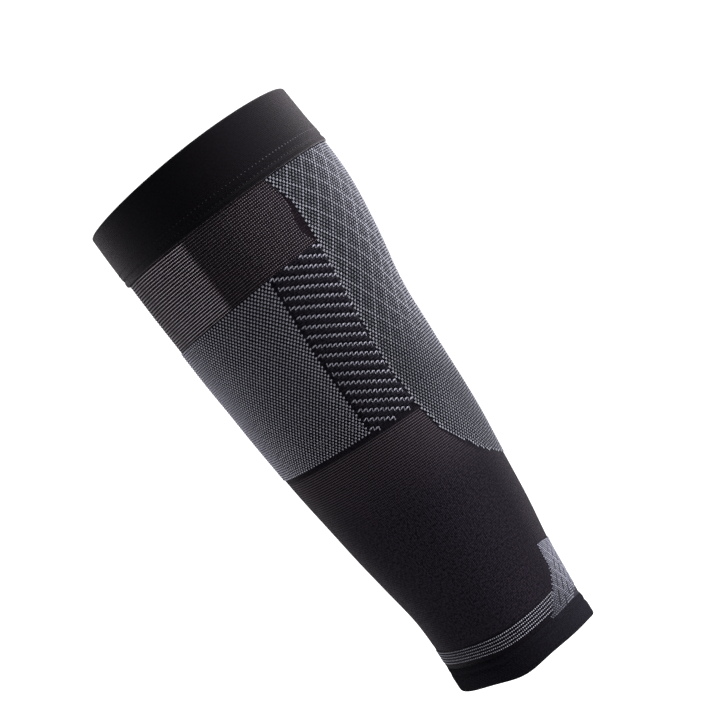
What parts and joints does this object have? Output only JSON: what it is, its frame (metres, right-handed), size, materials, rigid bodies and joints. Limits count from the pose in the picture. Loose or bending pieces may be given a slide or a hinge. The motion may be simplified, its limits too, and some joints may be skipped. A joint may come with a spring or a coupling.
{
  "type": "calf compression sleeve",
  "caption": "Knitted tube for the calf, in zones of mesh, dotted, ribbed and plain knit, with a doubled welt at the knee and at the ankle.",
  "frame": {"origin": "on the leg's axis, level with the widest part of the calf, where the sleeve sits on the leg", "axes": "+Z along the leg towards the knee, +Y towards the calf at the back, -Y towards the shin at the front, +X towards the outer side, which the picture shows"},
  "size_m": [0.117, 0.1234, 0.303],
  "materials": {
    "welt_knit": "doubled smooth black elastic knit",
    "mesh_knit": "thin black knit with fine grey course lines",
    "dotted_knit": "black knit with a grey loop at every other stitch",
    "rib_knit": "raised slanting black ribs between grey stitch lines",
    "calf_knit": "dotted knit with longer grey loops in a lattice of diamonds",
    "plain_knit": "smooth black knit with faint course lines",
    "stripe_knit": "black knit with five courses of light grey loops",
    "tendon_knit": "dense grey looped knit with slanting shaded steps"
  },
  "bodies": {
    "root": {"knee_welt": "welt_knit", "upper_shin_zone": "mesh_knit", "shin_zone": "dotted_knit", "rib_zone_outer": "rib_knit", "rib_zone_inner": "rib_knit", "calf_zone": "calf_knit", "lower_leg_zone": "plain_knit", "stripe_zone": "stripe_knit", "achilles_zone": "tendon_knit", "ankle_welt": "welt_knit"}
  },
  "joints": []
}
